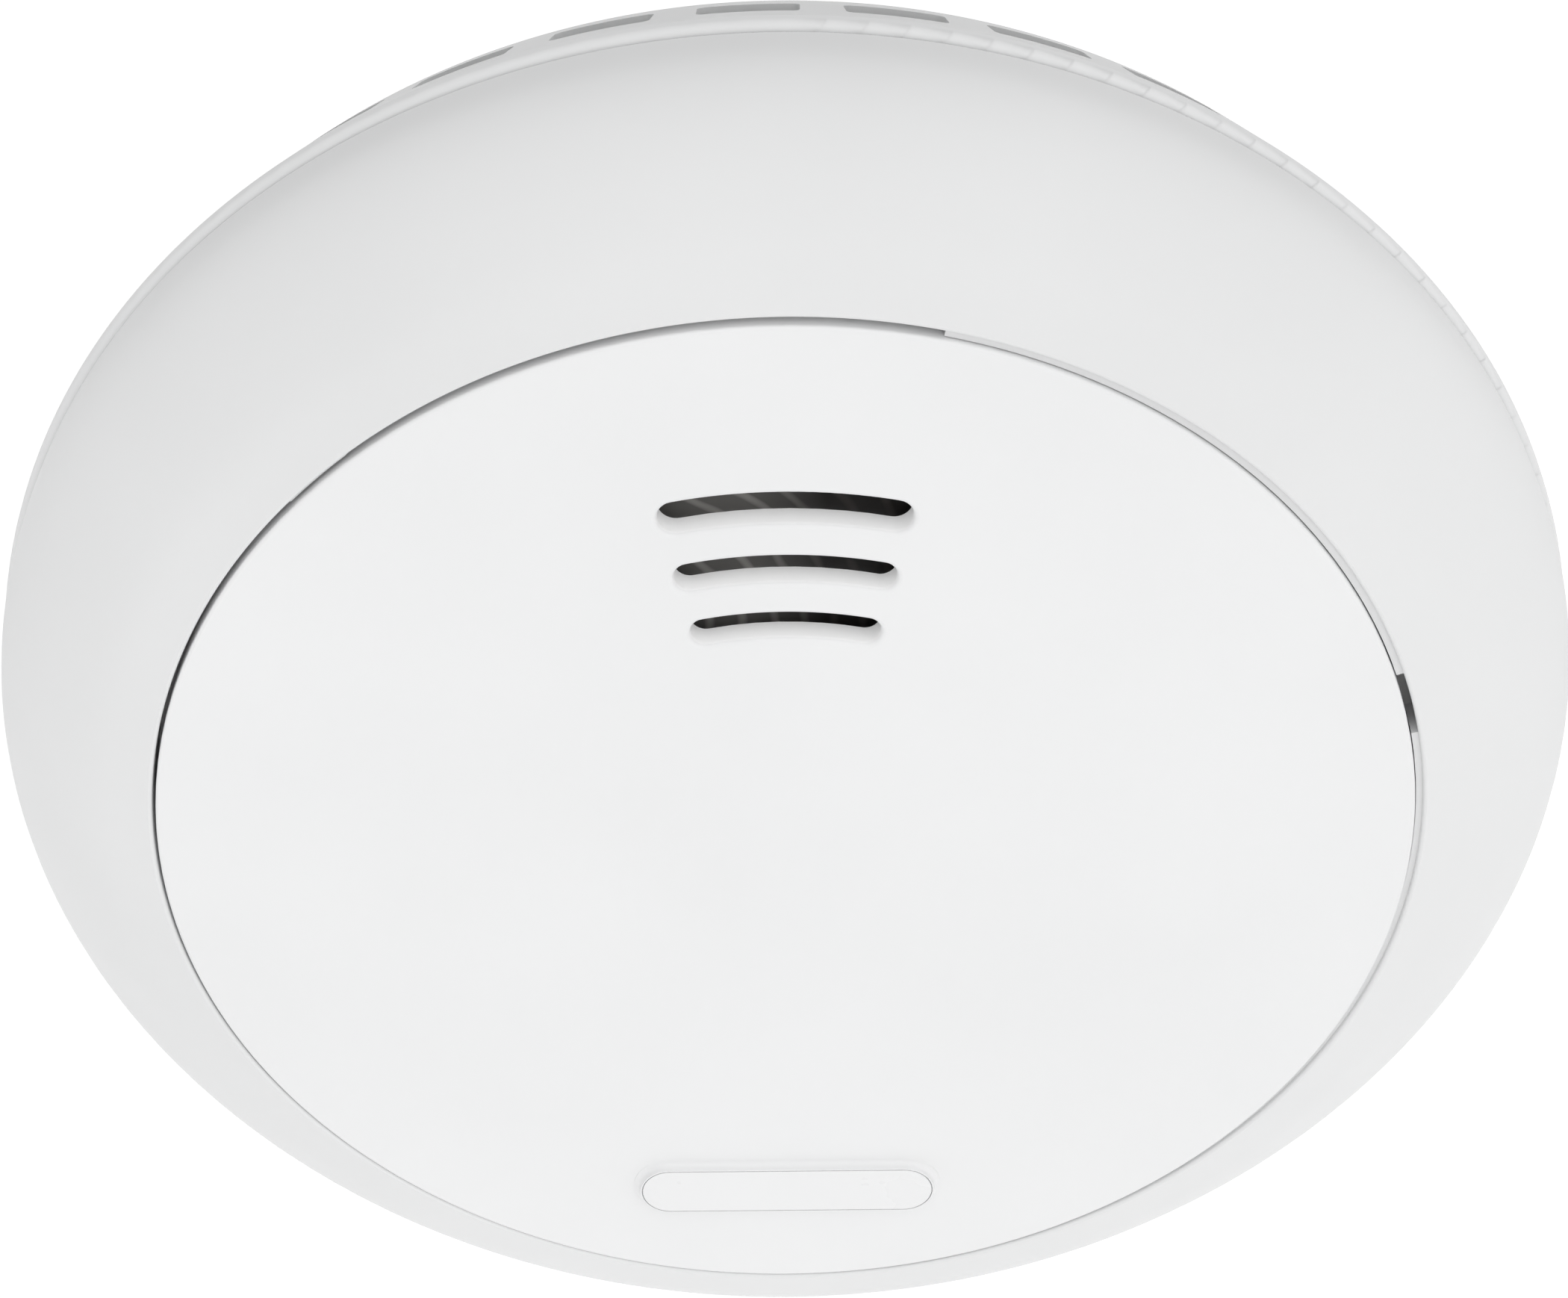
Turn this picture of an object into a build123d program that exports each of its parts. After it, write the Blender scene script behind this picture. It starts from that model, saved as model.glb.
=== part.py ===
from build123d import *
import os
from math import cos, radians, sin

os.makedirs("parts", exist_ok=True)

# A round wall-mounted carbon monoxide detector with a press-to-test front plate.
# The wall is the plane y = 0 and the detector stands out from it towards -Y.
# +Z is up, +X is to the right of someone facing it, and the origin is on its axis.
# A "depth" is a distance from the wall, so depth d is the plane y = -d.

# ---- driving dimensions, in mm ----
LIP_RADIUS = 66.0  # the rear housing's rounded lip, the widest line
DOME_RADIUS = 65.5  # the front housing where it meets the lip
FLOOR_BACK = 7.0  # back face of the rear housing
FLOOR_FRONT = 8.7
VENT_REAR_RADIUS = 62.6  # the vented wall narrows towards the wall
VENT_REAR = 8.0
LIP_REAR = 16.6
PARTING = 17.9  # the two housings meet here

OPENING_RADIUS = 51.45  # round opening for the front plate
SEAM = 35.2  # depth of the opening's front edge
LEDGE_RADIUS = 46.5
LEDGE_BACK = 29.6
LEDGE_FRONT = 31.0

VENT_COUNT = 36
VENT_LENGTH = 7.8
VENT_HEIGHT = 4.1
VENT_OFFSET_ANGLE = 2.4  # the first slot's middle, from the top
VENT_RAISE = 1.3  # from the floor's inner face to the slots

PLATE_GAP = 0.42
PLATE_RADIUS = OPENING_RADIUS - PLATE_GAP
PLATE_THICKNESS = 2.15
PLATE_CROWN = 0.8
PLATE_SHIFT = (-0.18, -0.29)  # the plate's face sits a little low and left in its gap

SLOT_CENTRE = -5.71  # the sound slots curve round this height on the plate
SOUND_SLOTS = ((40.65, 2.85, 23.55), (35.0, 2.5, 24.15), (29.65, 2.4, 24.1))  # radius, width, angle

BADGE_LENGTH, BADGE_WIDTH, BADGE_HEIGHT = 27.0, 6.5, -38.81
BADGE_FLOOR, BADGE_BASE, BADGE_FRONT = 34.5, 35.55, 36.3
BADGE_MARGIN = 0.6  # from the badge's outline to its raised face
BADGE_LINE = 0.1  # the fine groove inside the raised face's edge

BASE_RADIUS = 57.0  # mounting plate
BASE_BORE = 38.0
BASE_THICKNESS = 2.5
WALL_SCREW_X = 48.5
WALL_SCREW_RADIUS = 2.25
LUG_ANGLES = (90, 210, 330)
LUG_SPAN = 20

HOUSING_SCREW_RADIUS = 55.0  # circle of the four housing screws
HOUSING_SCREW_ANGLES = (45, 135, 225, 315)
BOARD_SCREW_CIRCLE = 52.5
BOARD_SCREW_ANGLES = (90, 210, 330)
GUIDE_CIRCLE = 43.5  # circle of the plate's three guide posts
GUIDE_ANGLES = (30, 150, 270)
CATCH_ANGLES = (0, 120, 240)

BOARD_RADIUS = 58.0
BOARD_BACK, BOARD_FRONT = 17.0, 18.6
BOX_HALF_LENGTH, BOX_HALF_WIDTH = 29.0, 15.5  # inside of the battery box
BOX_WALL = 1.5
BOX_ROOF = 24.8

DOOR_LENGTH, DOOR_WIDTH, DOOR_THICKNESS = 62.0, 36.0, 2.2
DOOR_GAP = 0.3
DOOR_PIVOT_DEPTH = 8.1
DOOR_PIVOT_HEIGHT = 16.9
PIVOT_RADIUS = 0.6

CELL_RADIUS, CELL_LENGTH = 7.0, 50.5  # AA cells
CELL_WRAP = 0.1
CELL_DEPTH, CELL_HEIGHT = 17.4, 7.55
CELL_END = 27.5  # the positive end's distance from the middle

HORN = (0, 32)
HORN_RADIUS = 14.2
HORN_FRONT = 31.5
SENSOR = (-13, -32)
SENSOR_RADIUS = 9.8
SWITCH = (16, -30)

# A half section through the axis: local x is the radius, local y the depth.
SECTION = Plane((0, 0, 0), x_dir=(1, 0, 0), z_dir=(0, 0, -1))


def facing(depth):
    """The plane parallel to the wall at this depth, seen from the front."""
    return Plane.XZ.offset(depth)


def plate_facing(depth):
    """The same plane, centred on the front plate."""
    return Plane((PLATE_SHIFT[0], -depth, PLATE_SHIFT[1]), x_dir=(1, 0, 0), z_dir=(0, -1, 0))


def spots(radius, angles):
    """Points on a circle round the axis, for sketches that face the front."""
    return [(radius * cos(radians(a)), radius * sin(radians(a))) for a in angles]


def wall_plane(radius, angle, depth):
    """A plane that faces straight out from the axis, its y towards the front."""
    c, s = cos(radians(angle)), sin(radians(angle))
    return Plane((radius * c, -depth, radius * s), x_dir=(-s, 0, c), z_dir=(c, 0, s))


def ring_slice(inner, outer, middle, span):
    """A slice of a flat ring, centred on the angle middle."""
    with BuildSketch() as piece:
        with BuildLine():
            rim = CenterArc((0, 0), outer, middle - span / 2, span)
            bore = CenterArc((0, 0), inner, middle - span / 2, span)
            Line(rim @ 0, bore @ 0)
            Line(rim @ 1, bore @ 1)
        make_face()
    return piece.sketch


def arc_slot(radius, width, middle, span, centre_height=0):
    """A round-ended slot that curves about a point straight above or below the axis."""
    with BuildSketch() as piece:
        arc = CenterArc((0, centre_height), radius, middle - span / 2, span, mode=Mode.PRIVATE)
        SlotArc(arc, width)
    return piece.sketch


# ---- mounting plate: a bayonet ring that is screwed to the wall ----
HOOK_BACK, HOOK_FRONT = 4.9, 6.4
with BuildPart() as mounting_plate:
    with BuildSketch(facing(0)):
        Circle(BASE_RADIUS)
        Circle(BASE_BORE, mode=Mode.SUBTRACT)
        with Locations((-WALL_SCREW_X, 0), (WALL_SCREW_X, 0)):
            Circle(WALL_SCREW_RADIUS, mode=Mode.SUBTRACT)
        for middle in (90, 270):
            add(arc_slot(42, 2 * WALL_SCREW_RADIUS, middle, 24), mode=Mode.SUBTRACT)
    extrude(amount=BASE_THICKNESS)
    chamfer(mounting_plate.edges().filter_by(GeomType.CIRCLE).group_by(Axis.Y)[0]
            .sort_by(SortBy.RADIUS)[-1], length=0.6)
    with BuildSketch(facing(BASE_THICKNESS)):
        Circle(53.2)
        Circle(51.6, mode=Mode.SUBTRACT)
    extrude(amount=HOOK_FRONT - BASE_THICKNESS)
    with BuildSketch(facing(HOOK_BACK)):
        for middle in LUG_ANGLES:
            add(ring_slice(48.9, 52.4, middle, LUG_SPAN))
    extrude(amount=HOOK_FRONT - HOOK_BACK)
    with BuildSketch(facing(BASE_THICKNESS - 0.5)):
        for middle in LUG_ANGLES:
            add(ring_slice(48.9, 52.4, middle - LUG_SPAN / 2 - 1.8, 2.4))
    extrude(amount=HOOK_BACK - BASE_THICKNESS + 1.0)
    with BuildSketch(facing(BASE_THICKNESS)):
        with PolarLocations(55.0, 6, start_angle=30):
            Rectangle(0.8, 5.0)
    extrude(amount=1.2)
mounting_plate.part.label = "mounting_plate"
export_step(mounting_plate.part, "parts/mounting_plate.step")

# ---- rear housing: floor, tapered vent wall, lip, bayonet skirt, battery box ----
FRAME_X, FRAME_Z, FRAME_FRONT = 33.5, 20.5, 10.5
BOX_BACK = DOOR_PIVOT_DEPTH + 1.3
BOSS_RADIUS, SCREW_HEAD_BORE, SCREW_SEAT = 4.5, 3.1, 13.5
SCREW_BORE = 1.6
with BuildPart() as rear_housing:
    with BuildSketch(SECTION):
        with BuildLine():
            lip_turn = 0.8
            Polyline((LIP_RADIUS - lip_turn, PARTING), (63.9, PARTING), (63.9, 16.2),
                     (60.8, FLOOR_FRONT), (0, FLOOR_FRONT), (0, FLOOR_BACK), (61.6, FLOOR_BACK),
                     (VENT_REAR_RADIUS, VENT_REAR), (LIP_RADIUS, LIP_REAR),
                     (LIP_RADIUS, PARTING - lip_turn))
            RadiusArc((LIP_RADIUS, PARTING - lip_turn), (LIP_RADIUS - lip_turn, PARTING), -lip_turn)
        make_face()
    revolve(axis=Axis.Y)
    # vent slots through the tapered wall
    slot_depth = FLOOR_FRONT + VENT_RAISE + VENT_HEIGHT / 2
    for k in range(VENT_COUNT):
        angle = 90 + VENT_OFFSET_ANGLE + k * 360 / VENT_COUNT
        with BuildSketch(wall_plane(59.5, angle, slot_depth)):
            RectangleRounded(VENT_LENGTH, VENT_HEIGHT, 0.6)
    extrude(amount=8, mode=Mode.SUBTRACT)
    # bayonet skirt and lugs
    with BuildSketch(facing(BASE_THICKNESS + 0.2)):
        Circle(45.8)
        Circle(44.0, mode=Mode.SUBTRACT)
    extrude(amount=FLOOR_BACK - BASE_THICKNESS)
    with BuildSketch(facing(3.1)):
        for middle in LUG_ANGLES:
            add(ring_slice(45.0, 50.9, middle, LUG_SPAN))
    extrude(amount=1.7)
    # door frame and battery box
    with BuildSketch(facing(FLOOR_BACK)):
        Rectangle(2 * FRAME_X, 2 * FRAME_Z)
    extrude(amount=FRAME_FRONT - FLOOR_BACK)
    with BuildSketch(facing(FLOOR_BACK)):
        Rectangle(2 * (BOX_HALF_LENGTH + BOX_WALL), 2 * (BOX_HALF_WIDTH + BOX_WALL))
    extrude(amount=BOX_ROOF + BOX_WALL - FLOOR_BACK)
    with BuildSketch(facing(FLOOR_BACK)):
        Rectangle(2 * BOX_HALF_LENGTH, 2 * BOX_HALF_WIDTH)
    extrude(amount=BOX_ROOF - FLOOR_BACK, mode=Mode.SUBTRACT)
    with BuildSketch(facing(FLOOR_BACK)):
        Rectangle(DOOR_LENGTH + 2 * DOOR_GAP, DOOR_WIDTH + 2 * DOOR_GAP)
    extrude(amount=BOX_BACK - FLOOR_BACK, mode=Mode.SUBTRACT)
    # holes for the door's pivots, along X
    pivot_seat = DOOR_LENGTH / 2 + 1.6
    with BuildSketch(Plane.YZ.offset(-pivot_seat)):
        with Locations((-DOOR_PIVOT_DEPTH, DOOR_PIVOT_HEIGHT)):
            Circle(PIVOT_RADIUS + 0.05)
    extrude(amount=2 * pivot_seat, mode=Mode.SUBTRACT)
    # openings for the two contact tabs on the right-hand wall
    with BuildSketch(facing(18.9)):
        with Locations((30, CELL_HEIGHT), (30, -CELL_HEIGHT)):
            Rectangle(4, 3.4)
    extrude(amount=0.7, mode=Mode.SUBTRACT)
    # bosses for the housing screws, entered from the back
    with BuildSketch(facing(FLOOR_FRONT)):
        with Locations(*spots(HOUSING_SCREW_RADIUS, HOUSING_SCREW_ANGLES)):
            Circle(BOSS_RADIUS)
    extrude(amount=BOARD_BACK - FLOOR_FRONT)
    with BuildSketch(facing(FLOOR_BACK)):
        with Locations(*spots(HOUSING_SCREW_RADIUS, HOUSING_SCREW_ANGLES)):
            Circle(SCREW_HEAD_BORE)
    extrude(amount=SCREW_SEAT - FLOOR_BACK, mode=Mode.SUBTRACT)
    with BuildSketch(facing(FLOOR_BACK)):
        with Locations(*spots(HOUSING_SCREW_RADIUS, HOUSING_SCREW_ANGLES)):
            Circle(SCREW_BORE)
    extrude(amount=12, mode=Mode.SUBTRACT)
    # bosses for the board screws
    with BuildSketch(facing(FLOOR_FRONT)):
        with Locations(*spots(BOARD_SCREW_CIRCLE, BOARD_SCREW_ANGLES)):
            Circle(3.2)
    extrude(amount=BOARD_BACK - FLOOR_FRONT)
    with BuildSketch(facing(11)):
        with Locations(*spots(BOARD_SCREW_CIRCLE, BOARD_SCREW_ANGLES)):
            Circle(1.3)
    extrude(amount=8, mode=Mode.SUBTRACT)
rear_housing.part.label = "rear_housing"
export_step(rear_housing.part, "parts/rear_housing.step")

# ---- front housing: domed shell with the plate's opening, ledge and guides ----
EDGE_ROUND = 0.3
POST_RADIUS, POST_FRONT = 3.2, 31.0
GUIDE_BACK, GUIDE_SEAT = 24.0, 26.6
LAND_FRONT = 34.7
LAND_GAP = 0.1
with BuildPart() as front_housing:
    with BuildSketch(SECTION):
        with BuildLine():
            dome = Spline((DOME_RADIUS, PARTING + 0.4), (65.6, 21.3), (62.8, 27.2), (56.4, 33.1),
                          (OPENING_RADIUS + EDGE_ROUND, SEAM),
                          tangents=((0.02, 1), (-1, 0.42)))
            RadiusArc(dome @ 1, (OPENING_RADIUS, SEAM - EDGE_ROUND), -EDGE_ROUND)
            Polyline((OPENING_RADIUS, SEAM - EDGE_ROUND), (OPENING_RADIUS, LEDGE_FRONT),
                     (LEDGE_RADIUS, LEDGE_FRONT), (LEDGE_RADIUS, LEDGE_BACK),
                     (53.5, LEDGE_BACK), (53.5, 31.4), (55.0, 31.4))
            inside = Spline((55.0, 31.4), (61.1, 26.0), (63.5, 21.2), (63.4, 20.0),
                            tangents=((1, -0.62), (-0.02, -1)))
            Polyline(inside @ 1, (61.8, 19.4), (61.8, 15.2), (63.2, 15.2), (63.2, PARTING),
                     (64.4, PARTING), (64.4, PARTING + 0.25), (65.3, PARTING + 0.25), dome @ 0)
        make_face()
    revolve(axis=Axis.Y)
    # posts for the housing screws
    with BuildSketch(facing(BOARD_BACK)):
        with Locations(*spots(HOUSING_SCREW_RADIUS, HOUSING_SCREW_ANGLES)):
            Circle(POST_RADIUS)
    extrude(amount=POST_FRONT - BOARD_BACK)
    with BuildSketch(facing(BOARD_BACK)):
        with Locations(*spots(HOUSING_SCREW_RADIUS, HOUSING_SCREW_ANGLES)):
            Circle(1.5)
    extrude(amount=12, mode=Mode.SUBTRACT)
    # guides for the plate's posts, each with a seat for its spring
    with BuildSketch(facing(GUIDE_BACK)):
        with Locations(*spots(GUIDE_CIRCLE, GUIDE_ANGLES)):
            Circle(3.7)
    extrude(amount=LEDGE_FRONT - GUIDE_BACK)
    with BuildSketch(facing(LEDGE_BACK)):
        with PolarLocations(GUIDE_CIRCLE + 2.5, 3, start_angle=GUIDE_ANGLES[0]):
            Rectangle(5, 6)
    extrude(amount=LEDGE_FRONT - LEDGE_BACK)
    with BuildSketch(facing(GUIDE_BACK)):
        with Locations(*spots(GUIDE_CIRCLE, GUIDE_ANGLES)):
            Circle(1.75)
    extrude(amount=8, mode=Mode.SUBTRACT)
    with BuildSketch(facing(GUIDE_SEAT)):
        with Locations(*spots(GUIDE_CIRCLE, GUIDE_ANGLES)):
            Circle(2.9)
    extrude(amount=6, mode=Mode.SUBTRACT)
    # lands that fill the wide side of the gap, clear of the plate
    with BuildSketch(facing(LEDGE_FRONT - 0.5)):
        for middle, span in ((48.5, 57), (-30, 86)):
            add(ring_slice(OPENING_RADIUS - 1, OPENING_RADIUS + 0.5, middle, span))
        with Locations(PLATE_SHIFT):
            Circle(PLATE_RADIUS + LAND_GAP, mode=Mode.SUBTRACT)
    extrude(amount=LAND_FRONT - LEDGE_FRONT + 0.5)
    # locating tab beside the upper left screw post
    with BuildSketch(facing(LEDGE_FRONT - 0.5)):
        add(ring_slice(OPENING_RADIUS - 0.27, OPENING_RADIUS + 0.5, 133.5, 7))
    extrude(amount=4.0)
front_housing.part.label = "front_housing"
export_step(front_housing.part, "parts/front_housing.step")


# The front plate is a thin slice of a large sphere centred on the axis.
CROWN_RADIUS = (PLATE_RADIUS**2 + PLATE_CROWN**2) / (2 * PLATE_CROWN)
CROWN_CENTRE = SEAM + PLATE_CROWN - CROWN_RADIUS

# ---- test plate: the round front plate, pressed to test the alarm ----
SLOT_ROUND, RIM_ROUND = 0.4, 0.25
SKIRT_RADIUS, SKIRT_BORE, SKIRT_BACK = 50.3, 49.0, 31.9
CATCH_BACK, CATCH_RADIUS, CATCH_WIDTH = 28.2, 45.7, 6.0
SPRING_FRONT = 32.7
GUIDE_POST_BACK, GUIDE_POST_RADIUS = 25.0, 1.6
PLUNGER_FRONT = 29.3
with BuildPart() as test_plate:
    with BuildSketch(plate_facing(SKIRT_BACK)):
        Circle(PLATE_RADIUS)
    extrude(amount=6)
    with Locations((0, -CROWN_CENTRE, 0)):
        Sphere(CROWN_RADIUS, mode=Mode.INTERSECT)
        Sphere(CROWN_RADIUS - PLATE_THICKNESS, mode=Mode.SUBTRACT)
    front_face = test_plate.faces().sort_by(Axis.Y)[0]
    fillet(front_face.edges(), radius=RIM_ROUND)
    with BuildSketch(plate_facing(32)):
        for radius, width, span in SOUND_SLOTS:
            add(arc_slot(radius, width, 90, span, SLOT_CENTRE))
    extrude(amount=6, mode=Mode.SUBTRACT)
    front_face = test_plate.faces().sort_by(Axis.Y)[0]
    fillet(front_face.inner_wires().edges(), radius=SLOT_ROUND)
    with BuildSketch(plate_facing(BADGE_FLOOR)):
        with Locations((0, BADGE_HEIGHT)):
            SlotOverall(BADGE_LENGTH, BADGE_WIDTH)
    extrude(amount=3, mode=Mode.SUBTRACT)
    # stiffening skirt behind the rim
    with BuildSketch(plate_facing(SKIRT_BACK)):
        Circle(SKIRT_RADIUS)
        Circle(SKIRT_BORE, mode=Mode.SUBTRACT)
    extrude(amount=1.9)
    # guide posts and their spring seats
    with BuildSketch(facing(SPRING_FRONT)):
        with Locations(*spots(GUIDE_CIRCLE, GUIDE_ANGLES)):
            Circle(3.0)
    extrude(amount=1.0)
    with BuildSketch(facing(GUIDE_POST_BACK)):
        with Locations(*spots(GUIDE_CIRCLE, GUIDE_ANGLES)):
            Circle(GUIDE_POST_RADIUS)
    extrude(amount=9.0)
    # catches that hook behind the ledge
    with BuildSketch(facing(CATCH_BACK)):
        with PolarLocations(CATCH_RADIUS, 3, start_angle=CATCH_ANGLES[0]):
            Rectangle(1.0, CATCH_WIDTH)
    extrude(amount=5.8)
    with BuildSketch(facing(CATCH_BACK)):
        with PolarLocations(CATCH_RADIUS + 1.1, 3, start_angle=CATCH_ANGLES[0]):
            Rectangle(1.6, CATCH_WIDTH)
    extrude(amount=LEDGE_BACK - 0.1 - CATCH_BACK)
    # boss that works the switch
    with BuildSketch(facing(PLUNGER_FRONT)):
        with Locations(SWITCH):
            Circle(2.4)
    extrude(amount=5.0)
test_plate.part.label = "test_plate"
export_step(test_plate.part, "parts/test_plate.step")

# ---- badge: blank raised pill set into the plate, flared where it meets it ----
with BuildPart() as badge:
    with BuildSketch(plate_facing(BADGE_FLOOR)):
        with Locations((0, BADGE_HEIGHT)):
            SlotOverall(BADGE_LENGTH, BADGE_WIDTH)
    extrude(amount=BADGE_BASE - BADGE_FLOOR)
    with BuildSketch(plate_facing(BADGE_BASE)):
        with Locations((0, BADGE_HEIGHT)):
            SlotOverall(BADGE_LENGTH - 2 * BADGE_MARGIN, BADGE_WIDTH - 2 * BADGE_MARGIN)
    extrude(amount=BADGE_FRONT - BADGE_BASE)
    ledge = badge.faces().filter_by(Axis.Y).group_by(Axis.Y)[1][0]
    fillet(ledge.inner_wires().edges(), radius=BADGE_MARGIN - 0.1)
    with BuildSketch(plate_facing(BADGE_FRONT)):
        with Locations((0, BADGE_HEIGHT)):
            for inset, mode in ((BADGE_MARGIN + BADGE_LINE, Mode.ADD),
                                (BADGE_MARGIN + 2 * BADGE_LINE, Mode.SUBTRACT)):
                SlotOverall(BADGE_LENGTH - 2 * inset, BADGE_WIDTH - 2 * inset, mode=mode)
    extrude(amount=-0.25, mode=Mode.SUBTRACT)
badge.part.label = "badge"
export_step(badge.part, "parts/badge.step")

# ---- four screws that pull the housings together ----
with BuildPart() as housing_screws:
    with BuildSketch(facing(SCREW_SEAT - 1.9)):
        with Locations(*spots(HOUSING_SCREW_RADIUS, HOUSING_SCREW_ANGLES)):
            Circle(2.75)
    extrude(amount=1.9)
    fillet(housing_screws.edges().group_by(Axis.Y)[-1], radius=0.7)
    with BuildSketch(facing(SCREW_SEAT)):
        with Locations(*spots(HOUSING_SCREW_RADIUS, HOUSING_SCREW_ANGLES)):
            Circle(1.45)
    extrude(amount=13.5)
    with BuildSketch(facing(SCREW_SEAT - 1.9)):
        with Locations(*spots(HOUSING_SCREW_RADIUS, HOUSING_SCREW_ANGLES)):
            Rectangle(3.0, 0.7)
            Rectangle(0.7, 3.0)
    extrude(amount=1.1, mode=Mode.SUBTRACT)
housing_screws.part.label = "housing_screws"
export_step(housing_screws.part, "parts/housing_screws.step")

# ---- battery door: hinged along its top edge, with pivots at both ends ----
with BuildPart() as battery_door:
    round_edge = DOOR_THICKNESS / 2
    with BuildSketch(Plane.YZ.offset(-DOOR_LENGTH / 2)):
        low, high = -DOOR_WIDTH / 2, DOOR_PIVOT_HEIGHT
        with Locations((-DOOR_PIVOT_DEPTH, (low + high) / 2)):
            Rectangle(DOOR_THICKNESS, high - low)
        with Locations((-DOOR_PIVOT_DEPTH, DOOR_PIVOT_HEIGHT)):
            Circle(round_edge)
    extrude(amount=DOOR_LENGTH)
    with BuildSketch(Plane.YZ.offset(-DOOR_LENGTH / 2 - 1.4)):
        with Locations((-DOOR_PIVOT_DEPTH, DOOR_PIVOT_HEIGHT)):
            Circle(PIVOT_RADIUS)
    extrude(amount=DOOR_LENGTH + 2.8)
    # finger recess and grip ribs on the back face
    with BuildSketch(facing(FLOOR_BACK)):
        with Locations((0, -12.5)):
            RectangleRounded(20, 7, 2)
    extrude(amount=0.8, mode=Mode.SUBTRACT)
    with BuildSketch(facing(FLOOR_BACK)):
        with Locations((0, -14.3), (0, -12.5), (0, -10.7)):
            Rectangle(16, 0.7)
    extrude(amount=0.9)
    # latch ridge that grips the frame's lower edge
    with BuildSketch(facing(DOOR_PIVOT_DEPTH - 0.4)):
        with Locations((0, -DOOR_WIDTH / 2)):
            Rectangle(20, 0.5)
    extrude(amount=0.8)
battery_door.part.label = "battery_door"
export_step(battery_door.part, "parts/battery_door.step")

with BuildPart() as battery_door_pad:
    with BuildSketch(facing(DOOR_PIVOT_DEPTH + DOOR_THICKNESS / 2)):
        with Locations((0, -1)):
            RectangleRounded(40, 22, 2)
    extrude(amount=0.7)
battery_door_pad.part.label = "battery_door_pad"
export_step(battery_door_pad.part, "parts/battery_door_pad.step")

# ---- two AA cells, lying along X head to tail, and their sleeves ----
with BuildPart() as battery_cells:
    for side in (1, -1):
        with BuildSketch(Plane.YZ.offset(side * CELL_END)):
            with Locations((-CELL_DEPTH, side * CELL_HEIGHT)):
                Circle(2.6)
        extrude(amount=-side * 2.0)
        with BuildSketch(Plane.YZ.offset(side * (CELL_END - 1.2))):
            with Locations((-CELL_DEPTH, side * CELL_HEIGHT)):
                Circle(CELL_RADIUS)
        extrude(amount=-side * (CELL_LENGTH - 1.2))
battery_cells.part.label = "battery_cells"
export_step(battery_cells.part, "parts/battery_cells.step")

with BuildPart() as battery_wraps:
    for side in (1, -1):
        with BuildSketch(Plane.YZ.offset(side * (CELL_END - 1.6))):
            with Locations((-CELL_DEPTH, side * CELL_HEIGHT)):
                Circle(CELL_RADIUS + CELL_WRAP)
                Circle(CELL_RADIUS, mode=Mode.SUBTRACT)
        extrude(amount=-side * (CELL_LENGTH - 2.0))
battery_wraps.part.label = "battery_wraps"
export_step(battery_wraps.part, "parts/battery_wraps.step")


# ---- battery contacts: flat plates with a coil spring or a bump for each cell ----
CONTACT_THICKNESS = 0.5
CONTACT_WALL = BOX_HALF_LENGTH
SPRING_WIRE = 0.35
CELL_BACK_END = CELL_LENGTH - CELL_END  # the flat end's distance from the middle


def contact_plate(side, heights):
    """A flat contact against one end wall, covering the cells at these heights."""
    middle = sum(heights) / len(heights)
    length = max(heights) - min(heights) + 11.0
    wall = CONTACT_WALL if side > 0 else -CONTACT_WALL
    with BuildPart() as plate:
        with BuildSketch(Plane.YZ.offset(wall)):
            with Locations((-CELL_DEPTH, middle)):
                Rectangle(11.0, length)
        extrude(amount=-side * CONTACT_THICKNESS)
    return plate.part


def contact_bump(side, height):
    """The raised stud that a cell's positive end touches."""
    reach = CONTACT_WALL - CONTACT_THICKNESS - CELL_END
    with BuildPart() as bump:
        with BuildSketch(Plane.YZ.offset(side * (CELL_END + reach))):
            with Locations((-CELL_DEPTH, height)):
                Circle(2.2)
        extrude(amount=-side * reach)
    return bump.part


def contact_spring(side, height):
    """A coil from the contact plate to a cell's negative end."""
    length = CONTACT_WALL - CONTACT_THICKNESS - CELL_BACK_END - 2 * SPRING_WIRE - 0.1
    start = side * (CELL_BACK_END + SPRING_WIRE + 0.05)
    coil = Helix(pitch=length / 3, height=length, radius=3.2,
                 center=(start, -CELL_DEPTH, height), direction=(side, 0, 0))
    with BuildPart() as spring:
        with BuildSketch(Plane(coil @ 0, z_dir=coil % 0)):
            Circle(SPRING_WIRE)
        sweep(path=coil)
    return spring.part


def contact_tab(height):
    """A strip through the box's right-hand wall and down to the board."""
    with BuildPart() as tab:
        with BuildSketch(facing(19.05)):
            with Locations((CONTACT_WALL + 2.0, height)):
                Rectangle(5.0, 2.6)
        extrude(amount=0.4)
        with BuildSketch(facing(BOARD_FRONT)):
            with Locations((CONTACT_WALL + 4.25, height)):
                Rectangle(0.5, 2.6)
        extrude(amount=0.85)
    return tab.part


with BuildPart() as contact_link:
    add(contact_plate(-1, (CELL_HEIGHT, -CELL_HEIGHT)))
    add(contact_bump(-1, -CELL_HEIGHT))
    add(contact_spring(-1, CELL_HEIGHT))
contact_link.part.label = "contact_link"
export_step(contact_link.part, "parts/contact_link.step")

with BuildPart() as contact_positive:
    add(contact_plate(1, (CELL_HEIGHT,)))
    add(contact_bump(1, CELL_HEIGHT))
    add(contact_tab(CELL_HEIGHT))
contact_positive.part.label = "contact_positive"
export_step(contact_positive.part, "parts/contact_positive.step")

with BuildPart() as contact_negative:
    add(contact_plate(1, (-CELL_HEIGHT,)))
    add(contact_spring(1, -CELL_HEIGHT))
    add(contact_tab(-CELL_HEIGHT))
contact_negative.part.label = "contact_negative"
export_step(contact_negative.part, "parts/contact_negative.step")

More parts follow.
